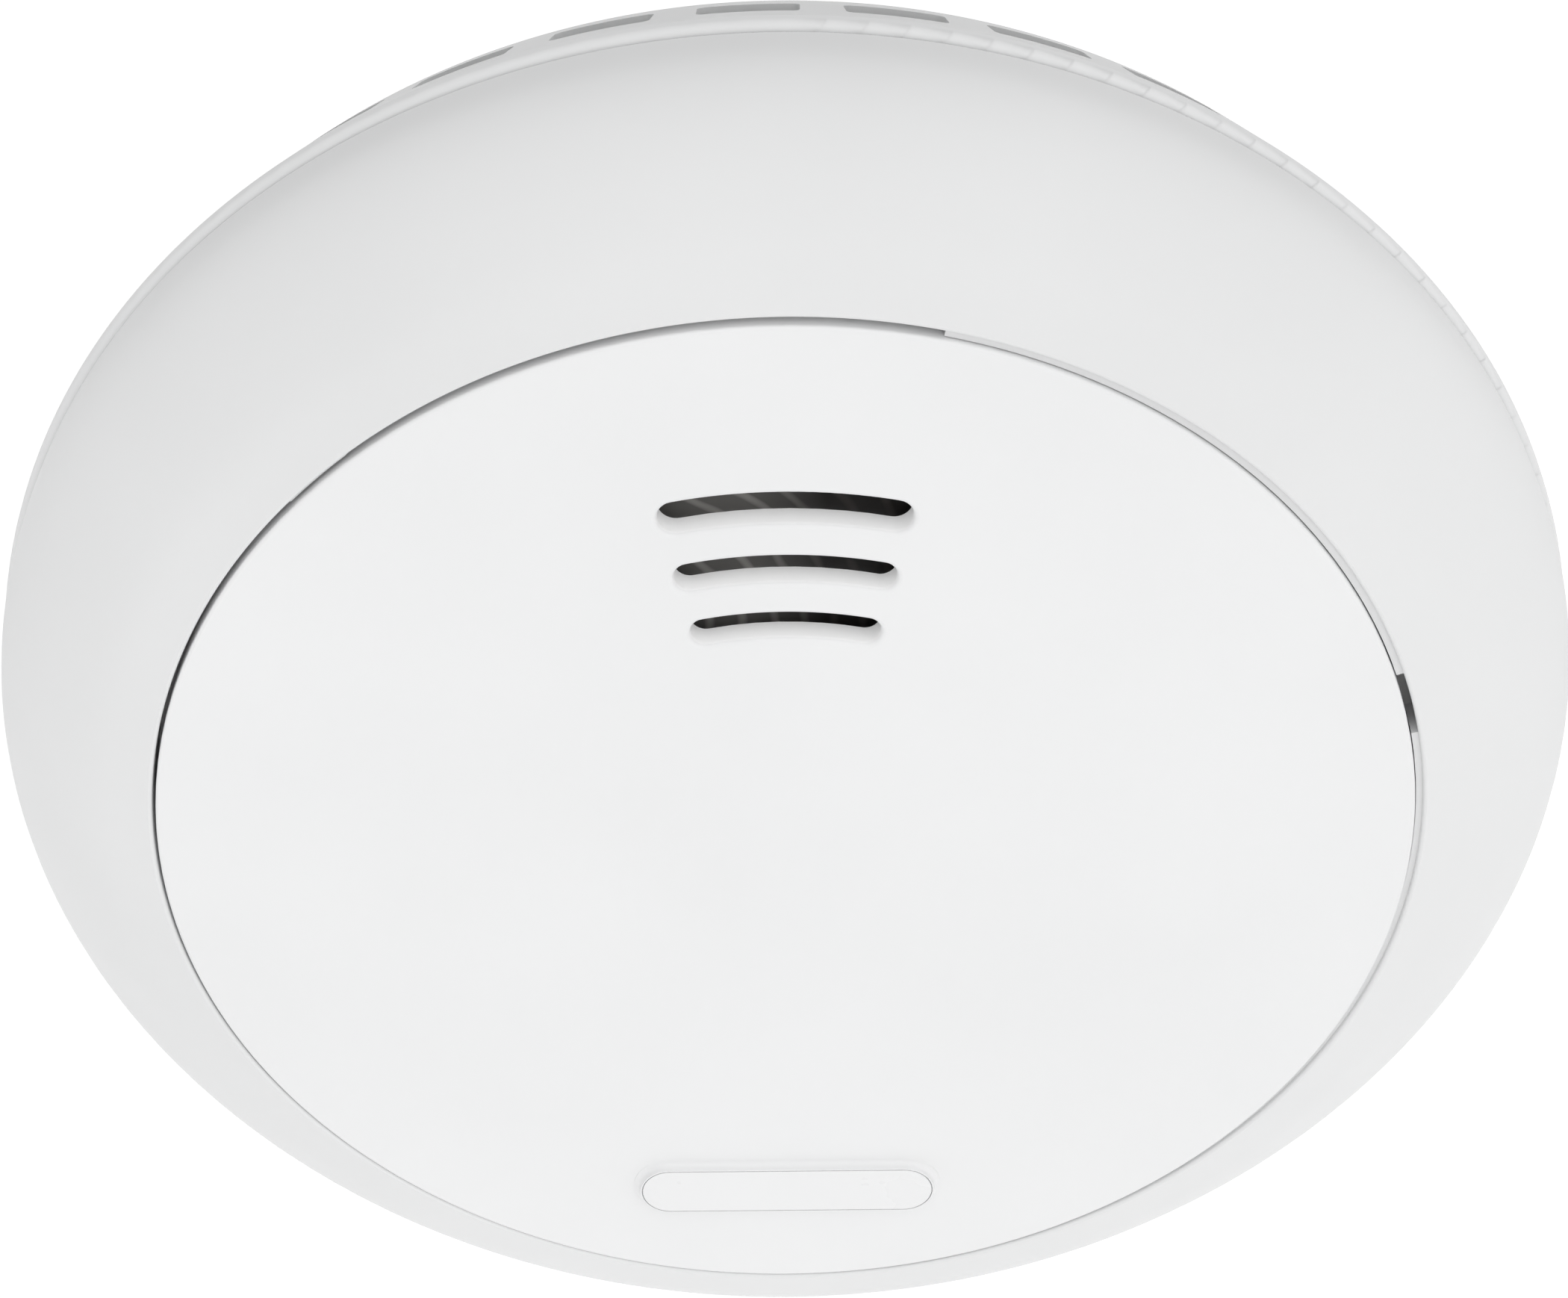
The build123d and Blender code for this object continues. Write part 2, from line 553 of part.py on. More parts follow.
# ---- main circuit board, cut out round the battery box ----
SENSOR_PINS = [(SENSOR[0] + x, SENSOR[1] + z) for x, z in ((-5, -3), (5, -3), (0, 5))]
with BuildPart() as main_board:
    with BuildSketch(facing(BOARD_BACK)):
        Circle(BOARD_RADIUS)
        RectangleRounded(2 * (BOX_HALF_LENGTH + BOX_WALL) + 1.0,
                         2 * (BOX_HALF_WIDTH + BOX_WALL) + 1.0, 0.4, mode=Mode.SUBTRACT)
        with Locations(*spots(HOUSING_SCREW_RADIUS, HOUSING_SCREW_ANGLES)):
            Circle(5.0, mode=Mode.SUBTRACT)
        with Locations(*spots(BOARD_SCREW_CIRCLE, BOARD_SCREW_ANGLES)):
            Circle(1.4, mode=Mode.SUBTRACT)
        with Locations(*SENSOR_PINS):
            Circle(0.6, mode=Mode.SUBTRACT)
    extrude(amount=BOARD_FRONT - BOARD_BACK)
main_board.part.label = "main_board"
export_step(main_board.part, "parts/main_board.step")

with BuildPart() as board_screws:
    with BuildSketch(facing(12)):
        with Locations(*spots(BOARD_SCREW_CIRCLE, BOARD_SCREW_ANGLES)):
            Circle(1.25)
    extrude(amount=BOARD_FRONT - 12)
    with BuildSketch(facing(BOARD_FRONT)):
        with Locations(*spots(BOARD_SCREW_CIRCLE, BOARD_SCREW_ANGLES)):
            Circle(2.4)
    extrude(amount=1.6)
    fillet(board_screws.edges().group_by(Axis.Y)[0], radius=0.6)
    with BuildSketch(facing(BOARD_FRONT + 0.7)):
        with Locations(*spots(BOARD_SCREW_CIRCLE, BOARD_SCREW_ANGLES)):
            Rectangle(2.6, 0.6)
            Rectangle(0.6, 2.6)
    extrude(amount=2, mode=Mode.SUBTRACT)
board_screws.part.label = "board_screws"
export_step(board_screws.part, "parts/board_screws.step")

# ---- sounder: cup, brass disc, clamp ring and cap ----
HORN_STEP = 24.0
HORN_CUP_FRONT = 30.0
with BuildPart() as horn_body:
    with BuildSketch(facing(BOARD_FRONT)):
        with Locations(HORN):
            Circle(HORN_RADIUS)
    extrude(amount=HORN_CUP_FRONT - BOARD_FRONT)
    with BuildSketch(facing(BOARD_FRONT + 1.2)):
        with Locations(HORN):
            Circle(HORN_RADIUS - 2.6)
    extrude(amount=10, mode=Mode.SUBTRACT)
    with BuildSketch(facing(HORN_STEP)):
        with Locations(HORN):
            Circle(HORN_RADIUS - 1.2)
    extrude(amount=8, mode=Mode.SUBTRACT)
horn_body.part.label = "horn_body"
export_step(horn_body.part, "parts/horn_body.step")

with BuildPart() as piezo_disc:
    with BuildSketch(facing(HORN_STEP)):
        with Locations(HORN):
            Circle(HORN_RADIUS - 1.4)
    extrude(amount=0.3)
    with BuildSketch(facing(HORN_STEP + 0.3)):
        with Locations(HORN):
            Circle(9.0)
    extrude(amount=0.25)
piezo_disc.part.label = "piezo_disc"
export_step(piezo_disc.part, "parts/piezo_disc.step")

with BuildPart() as horn_ring:
    with BuildSketch(facing(HORN_STEP + 0.3)):
        with Locations(HORN):
            Circle(HORN_RADIUS - 1.3)
            Circle(HORN_RADIUS - 3.2, mode=Mode.SUBTRACT)
    extrude(amount=1.2)
horn_ring.part.label = "horn_ring"
export_step(horn_ring.part, "parts/horn_ring.step")

with BuildPart() as horn_cap:
    with BuildSketch(facing(HORN_CUP_FRONT)):
        with Locations(HORN):
            Circle(HORN_RADIUS)
    extrude(amount=HORN_FRONT - HORN_CUP_FRONT)
    with BuildSketch(facing(HORN_STEP + 1.5)):
        with Locations(HORN):
            Circle(HORN_RADIUS - 1.3)
            Circle(HORN_RADIUS - 2.4, mode=Mode.SUBTRACT)
    extrude(amount=HORN_CUP_FRONT - HORN_STEP - 1.5)
    fillet(horn_cap.faces().sort_by(Axis.Y)[0].edges(), radius=0.5)
    # sound ports along the top of the cap
    with BuildSketch(facing(HORN_CUP_FRONT - 1)):
        with Locations((HORN[0], HORN[1] + 8.5)):
            with GridLocations(4.5, 0, 3, 1):
                Circle(1.3)
    extrude(amount=4, mode=Mode.SUBTRACT)
horn_cap.part.label = "horn_cap"
export_step(horn_cap.part, "parts/horn_cap.step")

# ---- carbon monoxide cell: can, vented cap with its filter, pins ----
SENSOR_BACK, SENSOR_SHOULDER, SENSOR_FRONT = 19.2, 28.5, 31.0
with BuildPart() as sensor_can:
    with BuildSketch(facing(SENSOR_BACK)):
        with Locations(SENSOR):
            Circle(SENSOR_RADIUS)
    extrude(amount=SENSOR_SHOULDER - SENSOR_BACK)
    fillet(sensor_can.edges().group_by(Axis.Y)[-1], radius=0.8)
sensor_can.part.label = "sensor_can"
export_step(sensor_can.part, "parts/sensor_can.step")

with BuildPart() as sensor_cap:
    with BuildSketch(facing(SENSOR_SHOULDER)):
        with Locations(SENSOR):
            Circle(SENSOR_RADIUS - 0.8)
    extrude(amount=SENSOR_FRONT - SENSOR_SHOULDER)
    fillet(sensor_cap.edges().group_by(Axis.Y)[0], radius=0.6)
    with BuildSketch(facing(SENSOR_FRONT - 0.8)):
        with Locations(SENSOR):
            Circle(3.4)
    extrude(amount=2, mode=Mode.SUBTRACT)
sensor_cap.part.label = "sensor_cap"
export_step(sensor_cap.part, "parts/sensor_cap.step")

with BuildPart() as sensor_filter:
    with BuildSketch(facing(SENSOR_FRONT - 0.8)):
        with Locations(SENSOR):
            Circle(3.3)
    extrude(amount=0.5)
sensor_filter.part.label = "sensor_filter"
export_step(sensor_filter.part, "parts/sensor_filter.step")

with BuildPart() as sensor_pins:
    with BuildSketch(facing(BOARD_BACK - 1.2)):
        with Locations(*SENSOR_PINS):
            Circle(0.5)
    extrude(amount=SENSOR_BACK - BOARD_BACK + 1.2)
sensor_pins.part.label = "sensor_pins"
export_step(sensor_pins.part, "parts/sensor_pins.step")

# ---- test switch: body and the plunger that the plate presses ----
with BuildPart() as test_switch_body:
    with BuildSketch(facing(BOARD_FRONT)):
        with Locations(SWITCH):
            RectangleRounded(8, 8, 0.6)
    extrude(amount=7.4)
    with BuildSketch(facing(23.0)):
        with Locations(SWITCH):
            Circle(1.95)
    extrude(amount=4, mode=Mode.SUBTRACT)
test_switch_body.part.label = "test_switch_body"
export_step(test_switch_body.part, "parts/test_switch_body.step")

with BuildPart() as test_switch_plunger:
    with BuildSketch(facing(24.0)):
        with Locations(SWITCH):
            Circle(1.9)
    extrude(amount=PLUNGER_FRONT - 0.02 - 24.0)
    chamfer(test_switch_plunger.edges().group_by(Axis.Y)[0], length=0.3)
test_switch_plunger.part.label = "test_switch_plunger"
export_step(test_switch_plunger.part, "parts/test_switch_plunger.step")

# ---- return springs round the plate's guide posts ----
RETURN_WIRE = 0.22
with BuildPart() as plate_springs:
    height = SPRING_FRONT - GUIDE_SEAT - 2 * RETURN_WIRE - 0.1
    for x, z in spots(GUIDE_CIRCLE, GUIDE_ANGLES):
        foot = (x, -(GUIDE_SEAT + RETURN_WIRE + 0.05), z)
        coil = Helix(pitch=height / 4, height=height, radius=2.3, center=foot, direction=(0, -1, 0))
        with BuildSketch(Plane(coil @ 0, z_dir=coil % 0)):
            Circle(RETURN_WIRE)
        sweep(path=coil)
plate_springs.part.label = "plate_springs"
export_step(plate_springs.part, "parts/plate_springs.step")

# ---- parts on the board ----
with BuildPart() as microcontroller:
    with BuildSketch(facing(BOARD_FRONT)):
        with Locations((40, -12)):
            Rectangle(9, 9)
    extrude(amount=0.3)
    with BuildSketch(facing(BOARD_FRONT + 0.3)):
        with Locations((40, -12)):
            Rectangle(7, 7)
    extrude(amount=1.0)
microcontroller.part.label = "microcontroller"
export_step(microcontroller.part, "parts/microcontroller.step")

with BuildPart() as capacitors:
    with BuildSketch(facing(BOARD_FRONT)):
        with Locations((24, 30), (-24, 30)):
            Circle(3.2)
    extrude(amount=8.6)
    fillet(capacitors.edges().group_by(Axis.Y)[0], radius=0.5)
capacitors.part.label = "capacitors"
export_step(capacitors.part, "parts/capacitors.step")

with BuildPart() as transformer:
    with BuildSketch(facing(BOARD_FRONT)):
        with Locations((28, -27)):
            Circle(4.4)
    extrude(amount=1.2)
    with BuildSketch(facing(BOARD_FRONT + 1.2)):
        with Locations((28, -27)):
            Circle(3.4)
    extrude(amount=5.0)
    with BuildSketch(facing(BOARD_FRONT + 6.2)):
        with Locations((28, -27)):
            Circle(4.4)
    extrude(amount=1.2)
transformer.part.label = "transformer"
export_step(transformer.part, "parts/transformer.step")

with BuildPart() as crystal:
    with BuildSketch(facing(BOARD_FRONT)):
        with Locations((49, -10)):
            SlotOverall(9, 3.6, rotation=90)
    extrude(amount=3.2)
crystal.part.label = "crystal"
export_step(crystal.part, "parts/crystal.step")

with BuildPart() as status_leds:
    led_spots = spots(47, (56, 62, 68))
    with BuildSketch(facing(BOARD_FRONT)):
        with Locations(*led_spots):
            Circle(1.5)
    extrude(amount=4.5)
    fillet(status_leds.edges().group_by(Axis.Y)[0], radius=1.4)
status_leds.part.label = "status_leds"
export_step(status_leds.part, "parts/status_leds.step")

with BuildPart() as surface_mount_parts:
    with BuildSketch(facing(BOARD_FRONT)):
        with Locations((-42, 6)):
            with GridLocations(5, 4, 3, 4):
                Rectangle(2.0, 1.25)
        with Locations((42, 8)):
            with GridLocations(5, 4, 2, 4):
                Rectangle(2.0, 1.25)
        with Locations((0, -48)):
            with GridLocations(5, 0, 4, 1):
                Rectangle(2.0, 1.25)
    extrude(amount=0.6)
surface_mount_parts.part.label = "surface_mount_parts"
export_step(surface_mount_parts.part, "parts/surface_mount_parts.step")

with BuildPart() as pin_header:
    with BuildSketch(facing(BOARD_FRONT)):
        with Locations((-42, -12)):
            Rectangle(5.08, 7.62)
    extrude(amount=2.5)
    with BuildSketch(facing(BOARD_FRONT + 2.5)):
        with Locations((-42, -12)):
            with GridLocations(2.54, 2.54, 2, 3):
                Rectangle(0.64, 0.64)
    extrude(amount=5.0)
pin_header.part.label = "pin_header"
export_step(pin_header.part, "parts/pin_header.step")

# ---- blank rating label on the back ----
with BuildPart() as rating_label:
    with BuildSketch(facing(FLOOR_BACK - 0.15)):
        with Locations((0, -29)):
            RectangleRounded(44, 13, 1.5)
    extrude(amount=0.15)
rating_label.part.label = "rating_label"
export_step(rating_label.part, "parts/rating_label.step")
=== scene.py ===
import math

import bmesh
import bpy
from mathutils import Matrix, Vector


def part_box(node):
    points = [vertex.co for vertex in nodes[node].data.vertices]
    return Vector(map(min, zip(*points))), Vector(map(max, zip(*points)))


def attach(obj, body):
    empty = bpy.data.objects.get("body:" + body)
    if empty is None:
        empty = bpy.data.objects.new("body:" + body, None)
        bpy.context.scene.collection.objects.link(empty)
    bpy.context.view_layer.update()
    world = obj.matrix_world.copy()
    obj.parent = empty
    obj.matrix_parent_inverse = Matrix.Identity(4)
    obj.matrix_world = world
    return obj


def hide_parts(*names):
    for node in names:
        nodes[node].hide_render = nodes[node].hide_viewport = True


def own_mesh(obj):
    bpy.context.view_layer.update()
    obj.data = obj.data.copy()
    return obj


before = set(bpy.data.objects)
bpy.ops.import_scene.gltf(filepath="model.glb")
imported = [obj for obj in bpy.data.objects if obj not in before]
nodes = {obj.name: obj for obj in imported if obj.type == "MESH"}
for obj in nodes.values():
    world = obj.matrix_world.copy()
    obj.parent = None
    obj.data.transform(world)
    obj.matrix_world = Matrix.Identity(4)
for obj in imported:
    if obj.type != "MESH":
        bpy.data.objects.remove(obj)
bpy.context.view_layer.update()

# A round wall-mounted carbon monoxide detector. Metres, in the CAD frame: the wall
# is y = 0, the detector faces -Y, +Z is up. A "depth" is a distance from the wall.

MM = 0.001
WELD = 0.001 * MM  # points closer than this are one point


# ---- shader helpers ----
def new_material(name):
    """An empty node material: itself, its tree, its Principled shader and object coordinates."""
    material = bpy.data.materials.new(name)
    material.use_nodes = True
    tree = material.node_tree
    shader = tree.nodes["Principled BSDF"]
    coords = tree.nodes.new("ShaderNodeTexCoord")
    return material, tree, shader, coords.outputs["Object"]


def stretched(tree, coords, scale, turn=(0, 0, 0), shift=(0, 0, 0)):
    """Coordinates with a different scale along each axis, for grain that runs one way."""
    node = tree.nodes.new("ShaderNodeMapping")
    node.inputs["Location"].default_value = shift
    node.inputs["Scale"].default_value = scale
    node.inputs["Rotation"].default_value = turn
    tree.links.new(coords, node.inputs["Vector"])
    return node.outputs["Vector"]


def noise(tree, coords, scale, detail=3.0, roughness=0.55):
    """A noise texture's value, with features about 1 / scale metres across."""
    node = tree.nodes.new("ShaderNodeTexNoise")
    node.inputs["Scale"].default_value = scale
    node.inputs["Detail"].default_value = detail
    node.inputs["Roughness"].default_value = roughness
    tree.links.new(coords, node.inputs["Vector"])
    return node.outputs["Fac"]


def waves(tree, coords, scale, kind="BANDS", axis="X", distortion=0.0):
    """A striped or ringed pattern's value."""
    node = tree.nodes.new("ShaderNodeTexWave")
    node.wave_type = kind
    if kind == "BANDS":
        node.bands_direction = axis
    else:
        node.rings_direction = axis
    node.inputs["Scale"].default_value = scale
    node.inputs["Distortion"].default_value = distortion
    node.inputs["Detail"].default_value = 2
    tree.links.new(coords, node.inputs["Vector"])
    return node.outputs["Fac"]


def ramp(tree, value, low, high, from_low=0.3, from_high=0.7):
    """Maps a value to a number between low and high."""
    node = tree.nodes.new("ShaderNodeMapRange")
    node.inputs["From Min"].default_value = from_low
    node.inputs["From Max"].default_value = from_high
    node.inputs["To Min"].default_value = low
    node.inputs["To Max"].default_value = high
    tree.links.new(value, node.inputs["Value"])
    return node.outputs["Result"]


def colour_mix(tree, value, first, second):
    """Blends two colours, or a socket and a colour, by a value from 0 to 1."""
    node = tree.nodes.new("ShaderNodeMix")
    node.data_type = "RGBA"
    for socket, colour in (("A", first), ("B", second)):
        if isinstance(colour, bpy.types.NodeSocket):
            tree.links.new(colour, node.inputs[socket])
        else:
            node.inputs[socket].default_value = (*colour, 1)
    tree.links.new(value, node.inputs["Factor"])
    return node.outputs["Result"]


def maths(tree, operation, first, second=0.0):
    """One arithmetic step on sockets or numbers."""
    node = tree.nodes.new("ShaderNodeMath")
    node.operation = operation
    for place, value in enumerate((first, second)):
        if isinstance(value, bpy.types.NodeSocket):
            tree.links.new(value, node.inputs[place])
        else:
            node.inputs[place].default_value = value
    return node.outputs["Value"]


def parts_of(tree, coords):
    """The x, y and z of the coordinates."""
    node = tree.nodes.new("ShaderNodeSeparateXYZ")
    tree.links.new(coords, node.inputs["Vector"])
    return node.outputs["X"], node.outputs["Y"], node.outputs["Z"]


def bump(tree, shader, heights):
    """Chains (height, strength, distance) bumps into the shader's normal."""
    normal = None
    for height, strength, distance in heights:
        node = tree.nodes.new("ShaderNodeBump")
        node.inputs["Strength"].default_value = strength
        node.inputs["Distance"].default_value = distance
        tree.links.new(height, node.inputs["Height"])
        if normal:
            tree.links.new(normal, node.inputs["Normal"])
        normal = node.outputs["Normal"]
    tree.links.new(normal, shader.inputs["Normal"])


# ---- materials ----
# painted light: a near-white colour and a faint glow put on the plate's slot walls to brighten their shade
PAINTED_LIGHT_WHITE = (0.94, 0.94, 0.94)
PAINTED_LIGHT_GLOW = 0.08


def painted_light_walls(tree, coords, within):
    """Where painted light goes: 1 on walls that run along Y less than a distance from the axis, and 0 on
    faces across Y.
    """
    x, y, z = parts_of(tree, coords)
    reach = maths(tree, "ADD", maths(tree, "MULTIPLY", x, x), maths(tree, "MULTIPLY", z, z))
    node = tree.nodes.new("ShaderNodeTexCoord")
    x, y, z = parts_of(tree, node.outputs["Normal"])
    along = ramp(tree, maths(tree, "ABSOLUTE", y), 1, 0, 0.1, 0.5)
    return maths(tree, "MULTIPLY", along, maths(tree, "LESS_THAN", reach, within**2))


def moulded_plastic(name, colour, roughness=0.45, grain=0.12, grain_size=0.35, shade=0.975, slots=0.0):
    """Moulded plastic: spark-eroded grain, slow unevenness of tone and gloss.

    Within the distance slots of the axis, the walls get a near-white colour and a faint glow: painted light
    that brightens their shade.
    """
    material, tree, shader, coords = new_material(name)
    drift = noise(tree, coords, 35, 2)
    darker = tuple(channel * shade for channel in colour)
    tone = colour_mix(tree, ramp(tree, drift, 0, 1), darker, colour)
    # painted light: the slot walls are whitened and made to glow faintly
    if slots:
        walls = painted_light_walls(tree, coords, slots)
        tone = colour_mix(tree, walls, tone, PAINTED_LIGHT_WHITE)
        tree.links.new(maths(tree, "MULTIPLY", walls, PAINTED_LIGHT_GLOW), shader.inputs["Emission Strength"])
        shader.inputs["Emission Color"].default_value = (1, 1, 1, 1)
    tree.links.new(tone, shader.inputs["Base Color"])
    patches = noise(tree, coords, 120, 4)
    tree.links.new(ramp(tree, patches, roughness - 0.04, roughness + 0.05), shader.inputs["Roughness"])
    fine = noise(tree, coords, 1000 / grain_size, 2)
    slow = noise(tree, coords, 90, 2)
    bump(tree, shader, ((fine, grain, 0.00003), (slow, 0.04, 0.0001)))
    shader.inputs["Specular IOR Level"].default_value = 0.35
    return material


def plated_metal(name, colour, roughness=0.3, streak=(1, 1, 1), tarnish=0.85):
    """Metal with fine drawn or turned streaks along one axis and a faint uneven tarnish."""
    material, tree, shader, coords = new_material(name)
    shader.inputs["Metallic"].default_value = 1.0
    dull = tuple(channel * tarnish for channel in colour)
    cloud = noise(tree, coords, 260, 4)
    tree.links.new(colour_mix(tree, ramp(tree, cloud, 0, 1), dull, colour), shader.inputs["Base Color"])
    grain = noise(tree, stretched(tree, coords, streak), 3000, 2)
    tree.links.new(ramp(tree, grain, roughness - 0.07, roughness + 0.1), shader.inputs["Roughness"])
    bump(tree, shader, ((grain, 0.12, 0.00002),))
    return material


def horn_plastic():
    """Dark brown moulding of the sounder: greyed on one side, with faint curved flow marks."""
    material, tree, shader, coords = new_material("horn_plastic")
    x, y, z = parts_of(tree, coords)
    grey = ramp(tree, x, 1, 0, -0.003, 0.003)
    body = colour_mix(tree, grey, (0.024, 0.022, 0.021), (0.17, 0.165, 0.158))
    placed = stretched(tree, coords, (1, 1, 1), shift=(0.012, 0, -0.02))
    marks = waves(tree, placed, 130, "RINGS", "Y", 3.0)
    marked = colour_mix(tree, grey, (0.05, 0.045, 0.042), (0.36, 0.35, 0.335))
    tone = colour_mix(tree, ramp(tree, marks, 0, 1, 0.75, 1.0), body, marked)
    tree.links.new(tone, shader.inputs["Base Color"])
    fine = noise(tree, coords, 2500, 2)
    tree.links.new(ramp(tree, noise(tree, coords, 400, 3), 0.38, 0.55), shader.inputs["Roughness"])
    bump(tree, shader, ((fine, 0.2, 0.00003), (marks, 0.15, 0.00003)))
    return material


def shrink_sleeve():
    """Unprinted sleeve of a cell: dark body and a copper band at the positive end."""
    material, tree, shader, coords = new_material("shrink_sleeve")
    x, y, z = parts_of(tree, coords)
    along = maths(tree, "MULTIPLY", x, maths(tree, "SIGN", z))
    band = ramp(tree, along, 0, 1, 0.0128, 0.0130)
    cloud = ramp(tree, noise(tree, coords, 200, 2), 0, 1)
    body = colour_mix(tree, cloud, (0.018, 0.02, 0.026), (0.026, 0.029, 0.037))
    tree.links.new(colour_mix(tree, band, body, (0.62, 0.33, 0.14)), shader.inputs["Base Color"])
    tree.links.new(maths(tree, "MULTIPLY", band, 0.7), shader.inputs["Metallic"])
    tree.links.new(ramp(tree, noise(tree, coords, 700, 3), 0.2, 0.32), shader.inputs["Roughness"])
    bump(tree, shader, ((noise(tree, coords, 250, 2), 0.08, 0.0001),))
    return material


def solder_mask():
    """Green solder mask over faint copper tracks, on woven glass board."""
    material, tree, shader, coords = new_material("solder_mask")
    cells = tree.nodes.new("ShaderNodeTexVoronoi")
    cells.feature = "DISTANCE_TO_EDGE"
    cells.inputs["Scale"].default_value = 220
    cells.inputs["Randomness"].default_value = 0.35
    tree.links.new(coords, cells.inputs["Vector"])
    tracks = ramp(tree, cells.outputs["Distance"], 1, 0, 0.05, 0.07)
    tone = colour_mix(tree, tracks, (0.012, 0.10, 0.035), (0.03, 0.17, 0.06))
    tree.links.new(tone, shader.inputs["Base Color"])
    tree.links.new(ramp(tree, noise(tree, coords, 600, 3), 0.25, 0.4), shader.inputs["Roughness"])
    weave = waves(tree, coords, 900, "BANDS", "DIAGONAL", 0.5)
    bump(tree, shader, ((tracks, 0.5, 0.00003), (weave, 0.05, 0.00002)))
    return material


def soft_foam():
    """Black closed-cell foam with visible pores."""
    material, tree, shader, coords = new_material("soft_foam")
    pores = tree.nodes.new("ShaderNodeTexVoronoi")
    pores.inputs["Scale"].default_value = 1600
    tree.links.new(coords, pores.inputs["Vector"])
    depth = pores.outputs["Distance"]
    tone = colour_mix(tree, ramp(tree, depth, 0, 1, 0.1, 0.6), (0.05, 0.05, 0.052), (0.016, 0.016, 0.017))
    tree.links.new(tone, shader.inputs["Base Color"])
    shader.inputs["Roughness"].default_value = 0.95
    bump(tree, shader, ((depth, 0.8, 0.0002),))
    return material


def felt():
    """Pale pressed felt of the cell's filter."""
    material, tree, shader, coords = new_material("felt")
    fibres = noise(tree, stretched(tree, coords, (1, 1, 0.2), turn=(0, 0.6, 0)), 3000, 6, 0.7)
    tone = colour_mix(tree, ramp(tree, fibres, 0, 1), (0.55, 0.54, 0.5), (0.8, 0.79, 0.75))
    tree.links.new(tone, shader.inputs["Base Color"])
    shader.inputs["Roughness"].default_value = 0.95
    bump(tree, shader, ((fibres, 0.6, 0.0001),))
    return material


def diffused_epoxy():
    """Milky diffused epoxy of the indicator lamps, each lamp with its own tint."""
    material, tree, shader, coords = new_material("diffused_epoxy")
    x, y, z = parts_of(tree, coords)
    warm = ramp(tree, x, 0, 1, 0.0205, 0.0235)
    tint = colour_mix(tree, warm, (0.35, 0.72, 0.4), (0.78, 0.2, 0.14))
    cloud = ramp(tree, noise(tree, coords, 900, 3), 0.0, 0.25)
    tree.links.new(colour_mix(tree, cloud, tint, (0.85, 0.85, 0.82)), shader.inputs["Base Color"])
    tree.links.new(ramp(tree, noise(tree, coords, 1500, 2), 0.12, 0.25), shader.inputs["Roughness"])
    shader.inputs["Transmission Weight"].default_value = 0.35
    return material


def blank_label():
    """Silver label with a blank ruled border and no print."""
    material, tree, shader, coords = new_material("blank_label")
    x, y, z = parts_of(tree, coords)
    reach_x = maths(tree, "SUBTRACT", maths(tree, "ABSOLUTE", x), 0.0205)
    reach_z = maths(tree, "SUBTRACT", maths(tree, "ABSOLUTE", maths(tree, "ADD", z, 0.029)), 0.005)
    edge = maths(tree, "ABSOLUTE", maths(tree, "MAXIMUM", reach_x, reach_z))
    line = ramp(tree, edge, 1, 0, 0.00015, 0.0002)
    cloud = ramp(tree, noise(tree, coords, 500, 3), 0, 1)
    silver = colour_mix(tree, cloud, (0.52, 0.52, 0.525), (0.58, 0.58, 0.585))
    tree.links.new(colour_mix(tree, line, silver, (0.1, 0.1, 0.105)), shader.inputs["Base Color"])
    shader.inputs["Metallic"].default_value = 0.35
    tree.links.new(ramp(tree, noise(tree, coords, 900, 3), 0.32, 0.42), shader.inputs["Roughness"])
    bump(tree, shader, ((noise(tree, coords, 1800, 2), 0.08, 0.00002),))
    return material


# ---- the finish of every CAD node ----
# the painted light on the plate's slot walls stays within this distance of the axis
SLOTS_WITHIN = 45 * MM  # the plate's sound slots lie nearer the axis than this, and its rim doesn't
HOUSING_WHITE = (0.765, 0.768, 0.77)
PLATE_WHITE = (0.82, 0.823, 0.826)
BASE_WHITE = (0.75, 0.75, 0.745)
CHIP_BLACK = (0.018, 0.018, 0.019)
STEEL = (0.62, 0.62, 0.63)
NICKEL = (0.76, 0.75, 0.72)
BRASS = (0.8, 0.6, 0.28)

